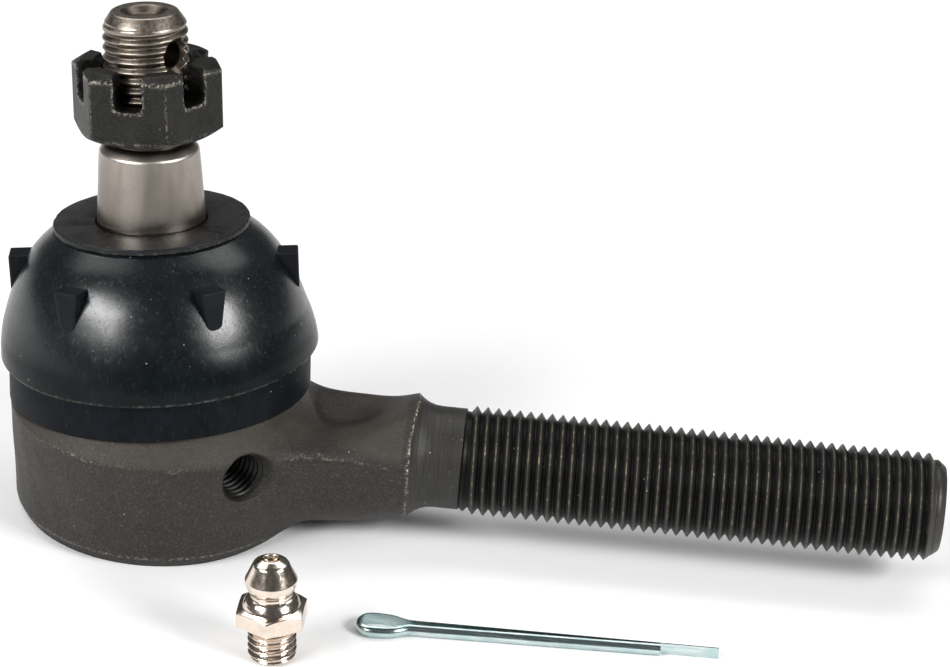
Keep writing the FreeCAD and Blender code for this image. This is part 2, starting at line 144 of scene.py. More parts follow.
def catmull(points, steps):
    """A smooth line through the points, with this many steps between neighbours."""
    p = np.array(points, float)
    p = np.vstack([2 * p[0] - p[1], p, 2 * p[-1] - p[-2]])
    out = []
    for a, b, c, d in zip(p, p[1:], p[2:], p[3:]):
        for t in np.arange(steps) / steps:
            out.append(0.5 * (2 * b + (c - a) * t + (2 * a - 5 * b + 4 * c - d) * t ** 2
                              + (3 * b - a - 3 * c + d) * t ** 3))
    out.append(p[-2])
    return [tuple(v) for v in out]


def eased(outline, radius, steps=4):
    """The outline with its corners rounded, for (radius, height) points."""
    out = [outline[0]]
    for a, b, c in zip(outline, outline[1:], outline[2:]):
        a, b, c = (np.array(v, float) for v in (a, b, c))
        reach = min(radius, 0.45 * np.linalg.norm(b - a), 0.45 * np.linalg.norm(c - b))
        start = b + (a - b) / np.linalg.norm(a - b) * reach
        end = b + (c - b) / np.linalg.norm(c - b) * reach
        for t in np.linspace(0, 1, steps + 1):
            out.append(tuple((1 - t) ** 2 * start + 2 * t * (1 - t) * b + t ** 2 * end))
    out.append(outline[-1])
    return out


def grid_faces(columns, rows, closed):
    """Faces of a grid of points whose columns run right round."""
    faces = []
    last = rows if closed else rows - 1
    for i in range(columns):
        for j in range(last):
            a, b = i * rows + j, i * rows + (j + 1) % rows
            c, d = ((i + 1) % columns) * rows + (j + 1) % rows, ((i + 1) % columns) * rows + j
            faces.append((a, b, c, d))
    return faces


def lathe(name, outline, segments=192, closed=False, shape=None, **placing):
    """Turns an outline of (radius, height) points about Z. shape may move the points a little."""
    r, z = np.array(outline, float).T
    angle = np.arange(segments) * 2 * math.pi / segments
    a, rr = np.meshgrid(angle, r, indexing="ij")
    zz = np.broadcast_to(z, rr.shape)
    if shape:
        rr, zz = shape(a, rr, zz)
    points = np.stack([rr * np.cos(a), rr * np.sin(a), zz], -1).reshape(-1, 3)
    return mesh_object(name, points, grid_faces(segments, len(outline), closed), **placing)


# Threads ----------------------------------------------------------------------------------

# Place along the pitch and height, from one root to the next
CREST_SHAPE = ((0.0, 0.0), (0.06, 0.03), (0.42, 0.90), (0.46, 0.985), (0.5, 1.0),
               (0.54, 0.985), (0.58, 0.90), (0.94, 0.03), (1.0, 0.0))


def crest(phase):
    """Height of a thread's flank, from 0 at the root to 1 at the crest."""
    at, height = np.array(CREST_SHAPE).T
    return np.interp(np.mod(phase, 1.0), at, height)


def helical(name, pitch, start, end, radius_at, caps, lead=0.0, segments=144, **placing):
    """A screw surface about Z between two heights. Its rows follow the helix, so crests are sharp.

    lead moves every crest down by that much.
    """
    per_turn = [at for at, _ in CREST_SHAPE[:-1]]
    first, last = math.floor(start / pitch) - 2, math.ceil(end / pitch) + 2
    rows = np.array([(k + at) * pitch - lead for k in range(first, last) for at in per_turn])
    points = []
    for i in range(segments + 1):
        turn = i / segments
        z = np.clip(rows + pitch * turn, start, end)
        r = radius_at(z, (z + lead) / pitch - turn)
        column = [(0.0, start)] + list(zip(r, z)) + [(r[-1] * share, end) for share in caps] + [(0.0, end)]
        angle = 2 * math.pi * turn
        points += [(rr * math.cos(angle), rr * math.sin(angle), zz) for rr, zz in column]
    count = len(rows) + 2 + len(caps)
    faces = [(i * count + j, i * count + j + 1, (i + 1) * count + j + 1, (i + 1) * count + j)
             for i in range(segments) for j in range(count - 1)]
    return mesh_object(name, points, faces, **placing)


# Solids from distance fields ----------------------------------------------------------------

def outline_field(u, v, corners):
    """Signed distance from points (u, v) to a closed outline, negative inside."""
    nearest = np.full(u.shape, np.inf)
    inside = np.zeros(u.shape, bool)
    for (ax, ay), (bx, by) in zip(corners, corners[1:] + corners[:1]):
        ex, ey = bx - ax, by - ay
        t = np.clip(((u - ax) * ex + (v - ay) * ey) / (ex * ex + ey * ey), 0, 1)
        nearest = np.minimum(nearest, (u - ax - t * ex) ** 2 + (v - ay - t * ey) ** 2)
        if ay != by:
            inside ^= ((ay > v) != (by > v)) & (u < ax + (v - ay) * ex / ey)
    return np.where(inside, -1, 1) * np.sqrt(nearest)


def merge(a, b, r):
    """Union of two fields with a fillet."""
    h = np.maximum(r - np.abs(a - b), 0) / r
    return np.minimum(a, b) - h * h * r / 4


def overlap(a, b, r):
    """Where two fields meet, with the edge rounded."""
    return -merge(-a, -b, r)


def without(a, b, r):
    """The first field with the second cut away, with the edge rounded."""
    return overlap(a, -b, r)


def sampled(field, axes, step):
    """The field on a grid, worked out only in the blocks that its surface may cross."""
    size = 14
    values = np.empty([len(a) for a in axes])
    reach = step * size * 1.3
    for i in range(0, len(axes[0]), size):
        for j in range(0, len(axes[1]), size):
            for k in range(0, len(axes[2]), size):
                part = (slice(i, i + size), slice(j, j + size), slice(k, k + size))
                x, y, z = (a[s] for a, s in zip(axes, part))
                middle = [np.array([v[len(v) // 2]]) for v in (x, y, z)]
                about = field(*middle)[0]
                if abs(about) > reach:
                    values[part] = about
                else:
                    values[part] = field(*np.meshgrid(x, y, z, indexing="ij"))
    return values


def settle(field, points, step):
    """Moves points onto the surface, along the field's slope."""
    h = 0.01
    for _ in range(3):
        x, y, z = points.T
        d = field(x, y, z)
        slope = np.stack([field(x + h, y, z) - field(x - h, y, z),
                          field(x, y + h, z) - field(x, y - h, z),
                          field(x, y, z + h) - field(x, y, z - h)], -1) / (2 * h)
        move = d[:, None] * slope / (np.sum(slope * slope, 1)[:, None] + 1e-6)
        length = np.linalg.norm(move, axis=1)[:, None] + 1e-9
        points = points - move * np.minimum(1, 0.5 * step / length)
    return points


def field_mesh(name, field, low, high, step, **placing):
    """A closed mesh of the surface where a field is zero, with one point in each crossed cell."""
    axes = [np.arange(a - 1.5 * step, b + 2.5 * step, step) for a, b in zip(low, high)]
    values = sampled(field, axes, step)
    cells = [n - 1 for n in values.shape]
    owners, spots = [], []
    for axis in range(3):
        u, v = (axis + 1) % 3, (axis + 2) % 3
        n = values.shape[axis]
        a = np.take(values, range(n - 1), axis)
        b = np.take(values, range(1, n), axis)
        at = np.argwhere((a < 0) != (b < 0))
        low_value, high_value = a[tuple(at.T)], b[tuple(at.T)]
        spot = at.astype(float)
        spot[:, axis] += low_value / (low_value - high_value)
        ring = []
        for du, dv in ((-1, -1), (0, -1), (0, 0), (-1, 0)):
            cell = at.copy()
            cell[:, u] += du
            cell[:, v] += dv
            ring.append(np.ravel_multi_index(cell.T, cells))
        ring = np.stack(ring, 1)
        ring[high_value < 0] = ring[high_value < 0][:, ::-1]
        owners.append(ring)
        spots.append(spot)
    owners, spots = np.concatenate(owners), np.concatenate(spots)
    used, index = np.unique(owners.ravel(), return_inverse=True)
    total = np.zeros((len(used), 3))
    np.add.at(total, index.ravel(), np.repeat(spots, 4, 0))
    points = total / np.bincount(index.ravel())[:, None]
    points = points * step + np.array([a[0] for a in axes])
    return mesh_object(name, settle(field, points, step), index.reshape(-1, 4).tolist(), **placing)


def near(distance, width):
    """1 on a line and falling off beside it."""
    return np.exp(-(distance / width) ** 2)


def waves(x, y, z, size, seed):
    """Gentle lumps between -1 and 1, of about this size."""
    rng = np.random.default_rng(seed)
    total = 0
    for _ in range(7):
        k = rng.normal(size=3)
        k *= 2 * math.pi / size * rng.uniform(0.6, 1.5) / np.linalg.norm(k)
        total = total + np.sin(k[0] * x + k[1] * y + k[2] * z + rng.uniform(0, 6.28))
    return total / 4


# Materials --------------------------------------------------------------------------------

class Look:
    """A material under construction, with short ways to add the usual nodes."""

    def __init__(self, name, **shader):
        self.material = bpy.data.materials.new(name)
        self.material.use_nodes = True
        self.tree = self.material.node_tree
        self.shader = self.tree.nodes["Principled BSDF"]
        for socket, value in shader.items():
            self.shader.inputs[socket.replace("_", " ")].default_value = value
        place = self.add("ShaderNodeTexCoord")
        scale = self.add("ShaderNodeMapping", Vector=place.outputs["Object"])
        scale.inputs["Scale"].default_value = (1 / MM,) * 3
        self.place = scale.outputs[0]

    def feed(self, socket, value):
        """Links an output to a socket, or sets the socket to a constant."""
        if isinstance(value, bpy.types.NodeSocket):
            self.tree.links.new(value, socket)
        else:
            socket.default_value = value

    def add(self, kind, settings=None, **sockets):
        """A node with its settings made and its named sockets fed."""
        node = self.tree.nodes.new(kind)
        for key, value in (settings or {}).items():
            setattr(node, key, value)
        for key, value in sockets.items():
            self.feed(node.inputs[key], value)
        return node

    def noise(self, size, detail=4.0, roughness=0.6, stretch=None):
        """Noise from 0 to 1 whose lumps are this many millimetres across."""
        place = self.place
        if stretch:
            place = self.add("ShaderNodeMapping", Vector=place, Scale=stretch).outputs[0]
        return self.add("ShaderNodeTexNoise", Vector=place, Scale=1 / size, Detail=detail,
                        Roughness=roughness).outputs["Fac"]

    def value(self, name):
        """The number that point_values stored under this name."""
        return self.add("ShaderNodeAttribute", {"attribute_name": name}).outputs["Fac"]

    def span(self, value, low, high, to_low=0.0, to_high=1.0):
        """Maps low..high to to_low..to_high, and holds it there."""
        node = self.add("ShaderNodeMapRange", Value=value)
        for key, number in zip(("From Min", "From Max", "To Min", "To Max"), (low, high, to_low, to_high)):
            node.inputs[key].default_value = number
        return node.outputs["Result"]

    def sums(self, operation, a, b):
        """Two numbers or sockets put together by a Math operation."""
        node = self.add("ShaderNodeMath", {"operation": operation})
        for socket, value in zip(node.inputs, (a, b)):
            self.feed(socket, value)
        return node.outputs[0]

    def blend(self, factor, a, b):
        """Mixes two colours, each an (r, g, b) or a socket."""
        node = self.add("ShaderNodeMix", {"data_type": "RGBA"})
        for socket, value in zip((node.inputs[0], node.inputs[6], node.inputs[7]), (factor, a, b)):
            self.feed(socket, (*value, 1) if isinstance(value, tuple) else value)
        return node.outputs[2]

    def specks(self, spacing, size, share):
        """Small separate dots: 1 in a dot and 0 elsewhere. share is how many cells have one."""
        node = self.add("ShaderNodeTexVoronoi", Vector=self.place, Scale=1 / spacing)
        near = self.span(node.outputs["Distance"], size, size * 0.5)
        chosen = self.add("ShaderNodeSeparateColor", Color=node.outputs["Color"]).outputs[0]
        return self.sums("MULTIPLY", near, self.sums("LESS_THAN", chosen, share))

    def scratches(self, stretch, size, low, high):
        """Thin broken lines, longest along the axis with the smallest stretch."""
        return self.span(self.noise(size, 2.0, 0.5, stretch), low, high)

    def colour(self, socket):
        self.tree.links.new(socket, self.shader.inputs["Base Color"])

    def rough(self, socket):
        self.tree.links.new(socket, self.shader.inputs["Roughness"])

    def shine(self, socket):
        self.tree.links.new(socket, self.shader.inputs["Specular IOR Level"])

    def bumps(self, *heights):
        """Stacks (height socket, depth in millimetres) pairs as bump."""
        normal = None
        for height, depth in heights:
            node = self.add("ShaderNodeBump", Height=height, Strength=1.0, Distance=depth * MM)
            if normal:
                self.tree.links.new(normal, node.inputs["Normal"])
            normal = node.outputs["Normal"]
        self.tree.links.new(normal, self.shader.inputs["Normal"])


def forged_look():
    """Phosphated forging: mottled brown grey, turned dark grey by the shank, scuffed on its edges, painted lighter
    on its top faces as if lit from above, and painted dark as shading where marked.
    """
    look = Look("forged_steel", Metallic=0.25)
    blotch = look.span(look.noise(4.0, 6.0, 0.7), 0.35, 0.65)
    grain = look.noise(0.28, 4.0, 0.8)
    base = look.blend(blotch, (0.0150, 0.0130, 0.0104), (0.0240, 0.0210, 0.0170))
    base = look.blend(look.span(grain, 0.52, 0.66, 0.0, 0.7), base, (0.085, 0.075, 0.060))
    pits = look.span(look.noise(0.22, 2.0, 0.5), 0.56, 0.70, 0.0, 0.6)
    base = look.blend(pits, base, (0.010, 0.009, 0.008))
    patchy = look.span(look.noise(2.5, 4.0, 0.6), 0.3, 0.7, 0.25, 0.6)
    # Painted light: top faces above the trim and parting lines are lightened, as if lit from above.
    upper = look.sums("MULTIPLY", look.value("upper"), patchy)
    base = look.blend(upper, base, (0.060, 0.049, 0.037))
    turned = look.value("turned")
    rings = look.noise(0.14, 2.0, 0.6, (1.0, 0.02, 0.02))
    machined = look.blend(look.span(rings, 0.35, 0.65), (0.014, 0.0133, 0.012), (0.032, 0.030, 0.026))
    base = look.blend(turned, base, machined)
    wear_and_highlight = look.sums("MULTIPLY", look.value("wear_and_highlight"), look.span(look.noise(0.40, 4.0, 0.75), 0.50, 0.60))
    base = look.blend(wear_and_highlight, base, (0.50, 0.43, 0.34))
    # Painted shade: nearly black where marked, in the grease hole and a crack; also a darker band at the foot.
    base = look.blend(look.value("dirt_and_shade"), base, (0.004, 0.004, 0.004))
    dust = look.sums("MAXIMUM", look.specks(2.1, 0.055, 0.35), look.specks(0.9, 0.06, 0.16))
    hair = look.scratches((1.0, 4.0, 3.0), 0.9, 0.73, 0.78)
    base = look.blend(look.sums("MAXIMUM", dust, look.sums("MULTIPLY", hair, 0.4)), base, (0.36, 0.33, 0.29))
    look.colour(base)
    look.rough(look.span(grain, 0.3, 0.7, 0.62, 0.44))
    coarse = look.sums("MULTIPLY", grain, look.span(turned, 0.0, 1.0, 1.0, 0.12))
    tool_marks = look.sums("MULTIPLY", rings, turned)
    look.bumps((coarse, 0.075), (tool_marks, 0.010), (look.noise(1.3, 4.0, 0.6), 0.09))
    return look.material


def thread_look(name, root, flank, top, gloss, metal=0.6):
    """A cut thread: roots painted dark as shading, and crests scuffed bright along their edge, partly as painted
    glints.
    """
    look = Look(name, Metallic=metal)
    height = look.value("height")
    # Painted shade: the roots are darker than the flanks.
    base = look.blend(look.span(height, 0.40, 0.85), root, flank)
    patch = look.span(look.noise(1.2, 5.0, 0.8), 0.50, 0.68)
    # Crests: partly wear, partly painted glints.
    crest_rub_and_glint = look.sums("MULTIPLY", look.span(height, 0.90, 0.99), patch)
    base = look.blend(crest_rub_and_glint, base, top)
    base = look.blend(look.specks(2.2, 0.05, 0.4), base, (0.5, 0.48, 0.42))
    look.colour(base)
    look.rough(look.span(look.noise(0.5, 3.0, 0.6), 0.3, 0.7, gloss, gloss + 0.18))
    look.bumps((look.noise(0.35, 3.0, 0.6), 0.02))
    return look.material


def steel_look():
    """Ground steel with a fine satin grain round the stud, darker streaks painted as reflections, and painted
    shading and a painted highlight line where marked.
    """
    look = Look("ground_steel", Metallic=1.0, Anisotropic=0.35)
    grain = look.noise(0.10, 2.0, 0.6, (0.35, 0.35, 1.0))
    cloud = look.span(look.noise(4.0, 4.0, 0.6), 0.3, 0.7)
    base = look.blend(cloud, (0.34, 0.30, 0.265), (0.42, 0.38, 0.345))
    base = look.blend(look.span(grain, 0.35, 0.65, 0.0, 0.35), base, (0.26, 0.23, 0.20))
    # Painted reflection: darker vertical streaks stand in for the surroundings seen in the ground steel.
    painted_reflection_bands = look.noise(3.2, 2.0, 0.5, (1.0, 1.0, 0.04))
    base = look.blend(look.span(painted_reflection_bands, 0.42, 0.62, 0.0, 0.6), base, (0.20, 0.172, 0.148))
    # Painted shade, nearly black where marked.
    base = look.blend(look.value("dirt_and_shade"), base, (0.035, 0.028, 0.021))
    # Painted highlight where marked.
    base = look.blend(look.value("wear_and_highlight"), base, (0.80, 0.73, 0.66))
    base = look.blend(look.specks(2.6, 0.045, 0.35), base, (0.06, 0.05, 0.04))
    look.colour(base)
    look.rough(look.span(grain, 0.3, 0.7, 0.30, 0.42))
    look.bumps((grain, 0.006), (look.noise(0.8, 3.0, 0.6), 0.006))
    return look.material


def rubber_look(name, base_dark, base_light, gloss, dusty, ior):
    """Moulded rubber: nearly black with a blue cast that is painted sheen, hazy gloss, dust and fine scuffs."""
    look = Look(name, IOR=ior)
    cloud = look.span(look.noise(4.0, 6.0, 0.7), 0.35, 0.65)
    base = look.blend(cloud, base_dark, base_light)
    fine = look.noise(0.20, 3.0, 0.6)
    scuff = look.scratches((1.0, 1.0, 0.25), 0.40, 0.58, 0.72)
    base = look.blend(look.sums("MULTIPLY", scuff, 0.06 + dusty), base, (0.07, 0.08, 0.08))
    dust = look.sums("MAXIMUM", look.specks(2.2, 0.055, 0.5), look.specks(1.1, 0.055, 0.22))
    base = look.blend(dust, base, (0.26, 0.26, 0.22))
    # Nearly black where marked: dirt smudges and painted shade.
    base = look.blend(look.value("dirt_and_shade"), base, (0.003, 0.003, 0.003))
    # Lighter where marked: partly wear, partly painted highlight.
    wear_and_highlight = look.sums("MULTIPLY", look.value("wear_and_highlight"), look.span(look.noise(0.7, 5.0, 0.8), 0.46, 0.60))
    base = look.blend(wear_and_highlight, base, (0.26, 0.25, 0.19))
    look.colour(base)
    haze = look.sums("ADD", look.span(look.noise(1.6, 6.0, 0.75), 0.3, 0.7, gloss - 0.03, gloss + 0.05),
                     look.sums("MULTIPLY", scuff, 0.12))
    look.rough(haze)
    look.shine(look.span(look.value("gloss"), 0.0, 1.0, 0.10, 0.5))
    look.bumps((fine, 0.008), (look.noise(1.2, 3.0, 0.5), 0.012))
    return look.material


def nut_look():
    """Dark phosphate with pits and specks, scuffed light along its edges, and painted dark as shading in its
    slots.
    """
    look = Look("phosphated_steel", Metallic=0.3, IOR=1.35)
    blotch = look.span(look.noise(2.6, 5.0, 0.65), 0.35, 0.65)
    base = look.blend(blotch, (0.0065, 0.0062, 0.0054), (0.0135, 0.0128, 0.0110))
    grain = look.noise(0.20, 3.0, 0.7)
    base = look.blend(look.span(grain, 0.50, 0.70, 0.0, 0.6), base, (0.050, 0.047, 0.039))
    wear_and_highlight = look.sums("MULTIPLY", look.value("wear_and_highlight"), look.span(look.noise(0.4, 4.0, 0.75), 0.47, 0.60))
    base = look.blend(wear_and_highlight, base, (0.34, 0.32, 0.27))
    base = look.blend(look.specks(1.5, 0.09, 0.35), base, (0.13, 0.12, 0.07))
    # Painted shade, nearly black, in the slots.
    base = look.blend(look.value("dirt_and_shade"), base, (0.002, 0.002, 0.002))
    look.colour(base)
    look.rough(look.span(grain, 0.3, 0.7, 0.55, 0.38))
    look.bumps((grain, 0.07), (look.noise(0.9, 3.0, 0.6), 0.07))
    return look.material


def zinc_look():
    """Clear zinc over wire: bright, with a blue-green cast and drawing lines."""
    look = Look("zinc_plate", Metallic=1.0)
    drawn = look.noise(0.22, 3.0, 0.6, (0.05, 1.0, 1.0))
    cast = look.span(look.noise(3.0, 3.0, 0.5), 0.3, 0.7)
    base = look.blend(cast, (0.46, 0.62, 0.62), (0.62, 0.70, 0.68))
    base = look.blend(look.span(drawn, 0.4, 0.7, 0.0, 0.5), base, (0.33, 0.38, 0.40))
    look.colour(base)
    look.rough(look.span(drawn, 0.3, 0.7, 0.16, 0.30))
    look.bumps((drawn, 0.008))
    return look.material


def nickel_look():
    """Bright nickel with a warm cast and slight ripples from turning, painted dark as shading down its bore."""
    look = Look("nickel_plate", Metallic=1.0)
    cloud = look.span(look.noise(1.4, 4.0, 0.6), 0.3, 0.7)
    base = look.blend(cloud, (0.70, 0.59, 0.49), (0.82, 0.72, 0.63))
    # Painted shade in the bore.
    base = look.blend(look.value("dirt_and_shade"), base, (0.10, 0.07, 0.05))
    look.colour(base)
    look.rough(look.span(look.noise(0.5, 3.0, 0.6), 0.3, 0.7, 0.12, 0.22))
    look.bumps((look.noise(0.45, 3.0, 0.6), 0.010))
    return look.material


def plain_look(name, dark, light, metal, gloss, depth):
    """For inner pieces: two tones, a grain and a little bump."""
    look = Look(name, Metallic=metal)
    look.colour(look.blend(look.span(look.noise(1.8, 4.0, 0.6), 0.3, 0.7), dark, light))
    grain = look.noise(0.2, 3.0, 0.6)
    look.rough(look.span(grain, 0.3, 0.7, gloss, gloss + 0.15))
    look.bumps((grain, depth))
    return look.material


def dress(piece, *materials):
    piece.data.materials.clear()
    for material in materials:
        piece.data.materials.append(material)


# Forged housing ---------------------------------------------------------------------------

PAST_AXIS = -9              # outlines of a solid of revolution run on to here, so the axis is no edge
TRIM_EDGE = (19.42, 4.4)
CRIMP_EDGE = (18.32, -9.25)
CUP_LOW = FLOOR_Z + 0.03
CUP_TOP = 9.55
CUP_OUTLINE = [(PAST_AXIS, CUP_LOW), (17.55, CUP_LOW), (18.05, -9.8), CRIMP_EDGE, (18.45, -7.1),
               (18.75, -3.5), (19.15, 0.5), TRIM_EDGE, (18.9, 5.4), (17.3, 8.65), (16.3, CUP_TOP),
               (PAST_AXIS, CUP_TOP)]
COVER_R = 14.55
BORE_R = 12.8
BORE_TOP = 4.95
CAVITY_OUTLINE = [(PAST_AXIS, -13), (13.4, -13), (13.4, -10.0), (COVER_R, -10.0), (COVER_R, -8.4),
                  (BORE_R, -8.4), (BORE_R, BORE_TOP), (8.3, BORE_TOP), (11.6, CUP_TOP), (11.6, 12),
                  (PAST_AXIS, 12)]
NECK_END_X = 32.5
TURNED_X = 36.8
TURNED_R = 6.64
THREAD_FROM_X = 40.1
HOUSING_LOW = (-19.6, -19.6, FLOOR_Z)
HOUSING_HIGH = (THREAD_FROM_X, 19.6, 9.7)
HOUSING_STEP = 0.2
COVE_R = TURNED_X - NECK_END_X
# x, half width, top, parting height, bottom and squareness of each section of the neck
NECK = np.array([
    (9.0, 14.0, 6.4, 2.6, -9.7, 2.8), (16.0, 11.4, 5.1, 2.6, -9.5, 2.8), (21.0, 9.9, 4.5, 2.4, -9.2, 2.8),
    (26.5, 9.1, 5.0, 2.0, -8.9, 2.8), (30.5, 8.5, 6.4, 1.0, -8.3, 2.4), (34.5, 8.2, 8.2, 0.0, -8.1, 2.1)])
NECK_LINES = np.array(catmull(NECK, 6))
DISH_DEPTH = 2.0            # the hollow along the neck's top
DISH_X = 24.5
DISH_LENGTH = 5.5
DISH_Y = 2.2
DISH_HALF = 3.6
GREASE = mount("grease_hole")
GREASE_AXIS = np.array(GREASE["axis"])
GREASE_POINT = np.array(GREASE["pos_m"]) / MM
GREASE_R = GREASE["dims"]["r_mm"]
GREASE_MOUTH_FROM = 18.4
GREASE_THREAD_FROM = 12.6
GREASE_THREAD_DEPTH = 0.42
SLEEVE_R = GREASE_R - 0.03  # the thread's sleeve, inside and outside
SLEEVE_OUT_R = GREASE_R + 0.12
BOOT_SKEW = 1.0
BOOT_TOP = 29.1


def cove_outline():
    """What the lathe leaves behind the neck, as (x, radius) points."""
    arc = []
    for k in range(9):
        a = math.pi / 2 * k / 8
        arc.append((TURNED_X - COVE_R * math.cos(a), TURNED_R + COVE_R * (1 - math.sin(a))))
    forging = [(-60, PAST_AXIS), (-60, 40), (NECK_END_X, 40)]
    return forging + arc + [(THREAD_FROM_X, TURNED_R), (THREAD_FROM_X, PAST_AXIS)]


COVE = cove_outline()


def neck_field(x, y, z):
    """Rough distance to the forged neck, a rounded square that changes along x."""
    half, top, parting, bottom, square = (np.interp(x, NECK_LINES[:, 0], c) for c in NECK_LINES[:, 1:].T)
    top = top - DISH_DEPTH * near(y - DISH_Y, DISH_HALF) * near(x - DISH_X, DISH_LENGTH)
    height = np.where(z > parting, top - parting, parting - bottom)
    u, v = np.abs(y) / half, np.abs(z - parting) / height
    span = (u ** square + v ** square + 1e-9) ** (1 / square)
    size = np.hypot(y, z - parting) + 1e-6
    return size * (1 - 1 / span)


def cove_field(x, y, z):
    return outline_field(x, np.hypot(y, z), COVE)


def turned_field(x, y, z):
    """The plain turned length that runs on into the thread."""
    return overlap(cove_field(x, y, z), (NECK_END_X + 1.4) - x, 0.05)


def boot_frame(x, y, z):
    """Points as radius and height in the boot's own upright frame."""
    upright = np.stack([x, y, z], -1) @ BOOT_TURN
    upright = upright - BOOT_SHIFT
    return np.hypot(upright[..., 0], upright[..., 1]), upright[..., 2]


def boot_placing():
    """The boot leans with the stud, and its skirt a little further about the flange."""
    skew = np.array(Matrix.Rotation(math.radians(-BOOT_SKEW), 3, "Y"))
    pivot = np.array([0, 0, BOOT_TOP])
    turn = STUD_TURN @ skew
    at = STUD_TURN @ (pivot - skew @ pivot)
    return turn, at


BOOT_TURN, BOOT_AT = boot_placing()
BOOT_SHIFT = BOOT_AT @ BOOT_TURN


def about_grease_hole(x, y, z):
    """Distance out along the grease hole's axis, and distance from that axis."""
    out = x * GREASE_AXIS[0] + y * GREASE_AXIS[1]
    return out, np.hypot(x * GREASE_AXIS[1] - y * GREASE_AXIS[0], z - GREASE_POINT[2])


def housing_field(x, y, z):
    """The cup, neck and turned length, less the bore, the boot's seat and the grease hole."""
    r = np.hypot(x, y)
    cup = outline_field(r, z, CUP_OUTLINE)
    neck = overlap(neck_field(x, y, z), cove_field(x, y, z), 0.10)
    neck = np.where(x < 6, np.maximum(neck, 6 - x), neck)
    body = merge(cup, neck, 4.2)
    body = body + 0.05 * waves(x, y, z, 5.0, 3) * (x < 36) * (z > FLOOR_Z + 1.5) * (z < 8.5)
    body = np.maximum(body, CUP_LOW - z)
    body = merge(body, turned_field(x, y, z), 0.02)
    body = without(body, outline_field(r, z, CAVITY_OUTLINE), 0.25)
    boot_r, boot_t = boot_frame(x, y, z)
    seat = np.maximum(18.72 - boot_r, 5.72 - boot_t)
    body = without(body, np.maximum(seat, boot_t - 12), 0.35)
    out, across = about_grease_hole(x, y, z)
    hole = np.maximum(across - GREASE_R - np.maximum(out - GREASE_MOUTH_FROM, 0) * 0.5, 11.3 - out)
    return without(body, hole, 0.2)


def housing_wear(housing):
    """Stores where the forging is scuffed, turned, painted lighter above its trim line as if lit from above, or
    painted dark.
    """
    x, y, z = points_mm(housing).T
    r = np.hypot(x, y)
    lump = waves(x, y, z, 2.0, 5)
    trim = 0.4 * near(np.hypot(r - TRIM_EDGE[0], z - TRIM_EDGE[1] - 0.25 * lump), 0.20) * (x < 17)
    trim = trim * np.clip(waves(x, y, z, 7.0, 6) + 0.35, 0, 1)
    crimp = 0.5 * near(np.hypot(r - CRIMP_EDGE[0], z - CRIMP_EDGE[1]), 0.20)
    fading = np.clip((z + 9) / 12, 0.25, 1)
    shoulder = near(np.abs(neck_field(x, y, z)) + np.abs(cove_field(x, y, z)), 0.14) * (x < 35.5) * fading
    parting = np.interp(x, NECK_LINES[:, 0], NECK_LINES[:, 3])
    flash = near(z - parting - 1.0 - 0.2 * lump, 0.14) * (x > 17) * (x < 31) * (np.abs(y) > 6)
    point_values(housing, "wear_and_highlight", trim + crimp + 1.35 * shoulder + 0.25 * flash)
    turned = np.clip(1 - np.abs(cove_field(x, y, z)) / 0.12, 0, 1) * (x > 32)
    point_values(housing, "turned", turned)
    # Painted light: faces above the trim line, and above the parting line along the neck, are marked to be
    # lightened as if lit from above.
    above = np.clip((z - np.where(x < 17, TRIM_EDGE[1] - 0.2, parting + 1.6)) / 0.8, 0, 1)
    point_values(housing, "upper", above * (x < NECK_END_X))
    # Painted shade inside the grease hole and along a crack above the parting line; a darker band below the crimp
    # edge.
    out, across = about_grease_hole(x, y, z)
    inside_hole = (across < GREASE_R + 0.15) * (out > 5)
    band = np.clip((CRIMP_EDGE[1] - 0.05 - z) / 0.1, 0, 1) * 0.45
    crack = 0.9 * near(z - parting - 0.55 - 0.22 * lump, 0.09) * (x > 17.5) * (x < 25.5) * (y < 0)
    point_values(housing, "dirt_and_shade", inside_hole + band + crack)


def make_housing():
    housing = field_mesh("forged_housing", housing_field, HOUSING_LOW, HOUSING_HIGH, HOUSING_STEP)
    housing_wear(housing)
    dress(housing, forged_look())
    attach(housing, "socket")
    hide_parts("socket_housing")


def make_shank():
    """The threaded shank, one screw surface from the relief to the chamfered end."""
    depth = SHANK_PITCH * THREAD_DEPTH
    start, end = THREAD_FROM_X - 0.35, SHANK_END_X
    chamfer = 2.0
    limit_at = [start, start + 0.4, start + 1.3, end - chamfer, end - 0.12, end]
    limit_r = [TURNED_R - 0.28, TURNED_R - 0.25, SHANK_R, SHANK_R, SHANK_R - 1.45, SHANK_R - 1.6]

    def radius(z, phase):
        return np.minimum(SHANK_R - depth + depth * crest(phase), np.interp(z, limit_at, limit_r))

    along_x = np.array(Matrix.Rotation(math.pi / 2, 3, "Y"))
    shank = helical("threaded_shank", SHANK_PITCH, start, end, radius, (0.97, 0.6, 0.3), 0.9,
                    turn=along_x)
    x, y, z = points_mm(shank).T
    r = np.hypot(y, z)
    height = np.clip((r - (SHANK_R - depth)) / depth, 0, 1)
    height = np.where(x > end - chamfer, 0.86, height)
    point_values(shank, "height", height)
    sharp_edges(shank, 42)
    dress(shank, thread_look("black_oxide_thread", (0.0025, 0.0025, 0.0025), (0.042, 0.040, 0.034),
                             (0.23, 0.185, 0.12), 0.36))
    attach(shank, "socket")


